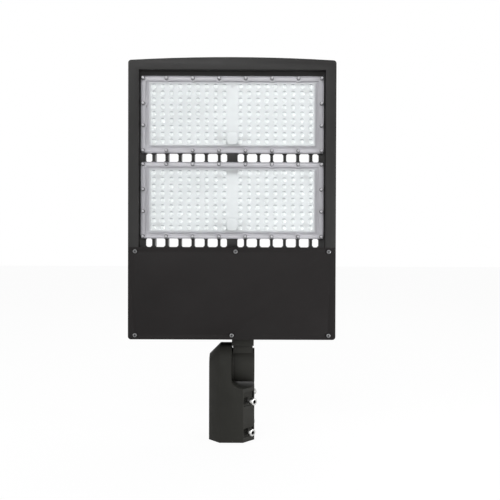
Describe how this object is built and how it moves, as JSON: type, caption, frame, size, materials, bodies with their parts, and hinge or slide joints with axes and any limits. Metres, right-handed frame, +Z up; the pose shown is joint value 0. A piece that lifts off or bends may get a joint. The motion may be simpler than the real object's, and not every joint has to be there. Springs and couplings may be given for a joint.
{
  "type": "area light",
  "caption": "Shoebox outdoor area light: flat finned housing with clear lens modules on a tilting slip fitter that clamps to a pole tenon.",
  "frame": {"origin": "middle of the slip fitter's mouth, on the axis of the pole tenon that it slides over", "axes": "+Z up along the tenon, -Y towards the side that the lenses face, +X to the right when the lenses are looked at"},
  "size_m": [0.338, 0.0836, 0.6265],
  "materials": {
    "bronze_paint": "die-cast aluminium under a satin dark bronze powder coat",
    "bronze_sheet": "sheet steel under a satin dark bronze powder coat",
    "pale_silicone": "translucent silicone",
    "clear_lens": "clear moulded plastic",
    "black_rubber": "matt",
    "white_board": "white solder mask",
    "led_phosphor": "silicone over phosphor",
    "connector_plastic": "moulded",
    "driver_case": "brushed extrusion",
    "surge_case": "moulded",
    "lead_sheath": "grey sleeve",
    "zinc_steel": "zinc plated",
    "screw_steel": "stainless"
  },
  "bodies": {
    "slip_fitter": {"slip_fitter_body": "bronze_paint", "knuckle_bolt": "zinc_steel", "knuckle_washer": "zinc_steel", "knuckle_lock_washer": "zinc_steel", "knuckle_nut": "zinc_steel", "knuckle_seal": "black_rubber"},
    "head": {"breather_vent": "connector_plastic", "driver_cover": "bronze_sheet", "driver_cover_gasket": "black_rubber", "driver_cover_screws": "screw_steel", "led_driver": "driver_case", "led_driver_screws": "screw_steel", "lower_board_screws": "screw_steel", "lower_led_boards": "white_board", "lower_led_chips": "led_phosphor", "lower_lens": "clear_lens", "lower_lens_gasket": "pale_silicone", "lower_lens_screws": "screw_steel", "lower_module_connectors": "connector_plastic", "main_housing": "bronze_paint", "module_leads": "lead_sheath", "surge_protector": "surge_case", "surge_protector_screws": "screw_steel", "terminal_block": "connector_plastic", "terminal_block_screws": "screw_steel", "tilt_arm": "bronze_paint", "tilt_arm_gasket": "black_rubber", "tilt_arm_screws": "screw_steel", "upper_board_screws": "screw_steel", "upper_led_boards": "white_board", "upper_led_chips": "led_phosphor", "upper_lens": "clear_lens", "upper_lens_gasket": "pale_silicone", "upper_lens_screws": "screw_steel", "upper_module_connector": "connector_plastic", "wire_grommet": "black_rubber"},
    "front_low_set_screw": {"front_low_set_screw": "screw_steel"},
    "front_high_set_screw": {"front_high_set_screw": "screw_steel"},
    "back_low_set_screw": {"back_low_set_screw": "screw_steel"},
    "back_high_set_screw": {"back_high_set_screw": "screw_steel"}
  },
  "joints": [
    {"name": "tilt", "type": "hinge", "parent": "slip_fitter", "child": "head", "pos_m": [0, 0, 0.1205], "axis": [1, 0, 0], "range_deg": [-90, 90]},
    {"name": "front_low_set_screw_travel", "type": "slide", "parent": "slip_fitter", "child": "front_low_set_screw", "axis": [0.7071, -0.7071, 0], "range_m": [-0.0015, 0.005]},
    {"name": "front_high_set_screw_travel", "type": "slide", "parent": "slip_fitter", "child": "front_high_set_screw", "axis": [0.7071, -0.7071, 0], "range_m": [-0.005, 0.0015]},
    {"name": "back_low_set_screw_travel", "type": "slide", "parent": "slip_fitter", "child": "back_low_set_screw", "axis": [0.7071, 0.7071, 0], "range_m": [-0.0015, 0.005]},
    {"name": "back_high_set_screw_travel", "type": "slide", "parent": "slip_fitter", "child": "back_high_set_screw", "axis": [0.7071, 0.7071, 0], "range_m": [-0.005, 0.0015]}
  ]
}
